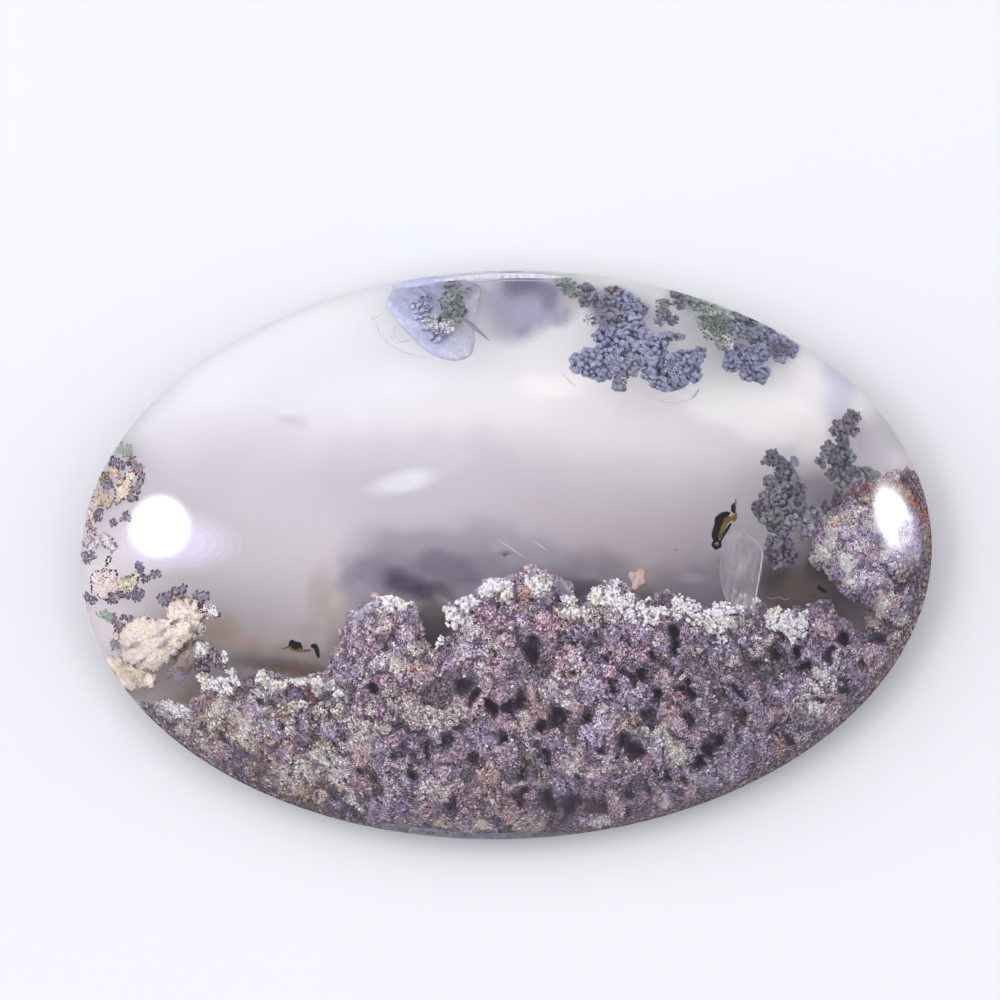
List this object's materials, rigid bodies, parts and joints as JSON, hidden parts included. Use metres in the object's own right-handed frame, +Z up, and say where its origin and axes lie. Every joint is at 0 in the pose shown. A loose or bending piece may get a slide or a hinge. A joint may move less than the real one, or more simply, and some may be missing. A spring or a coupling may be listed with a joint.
{
  "type": "moss agate cabochon",
  "caption": "Oval polished gemstone cabochon with a clear domed top, a thin girdle and a flat back, holding mossy mineral growths in a clear body.",
  "frame": {"origin": "centre of the flat back, which the stone lies on", "axes": "+Z up through the crown of the dome, +X along the long axis, +Y along the short axis towards the clear side of the stone"},
  "size_m": [0.03, 0.02, 0.0065],
  "materials": {
    "agate": "clear to faintly milky chalcedony with mossy inclusions, high gloss polish"
  },
  "bodies": {
    "root": {"cabochon": "agate"}
  },
  "joints": []
}
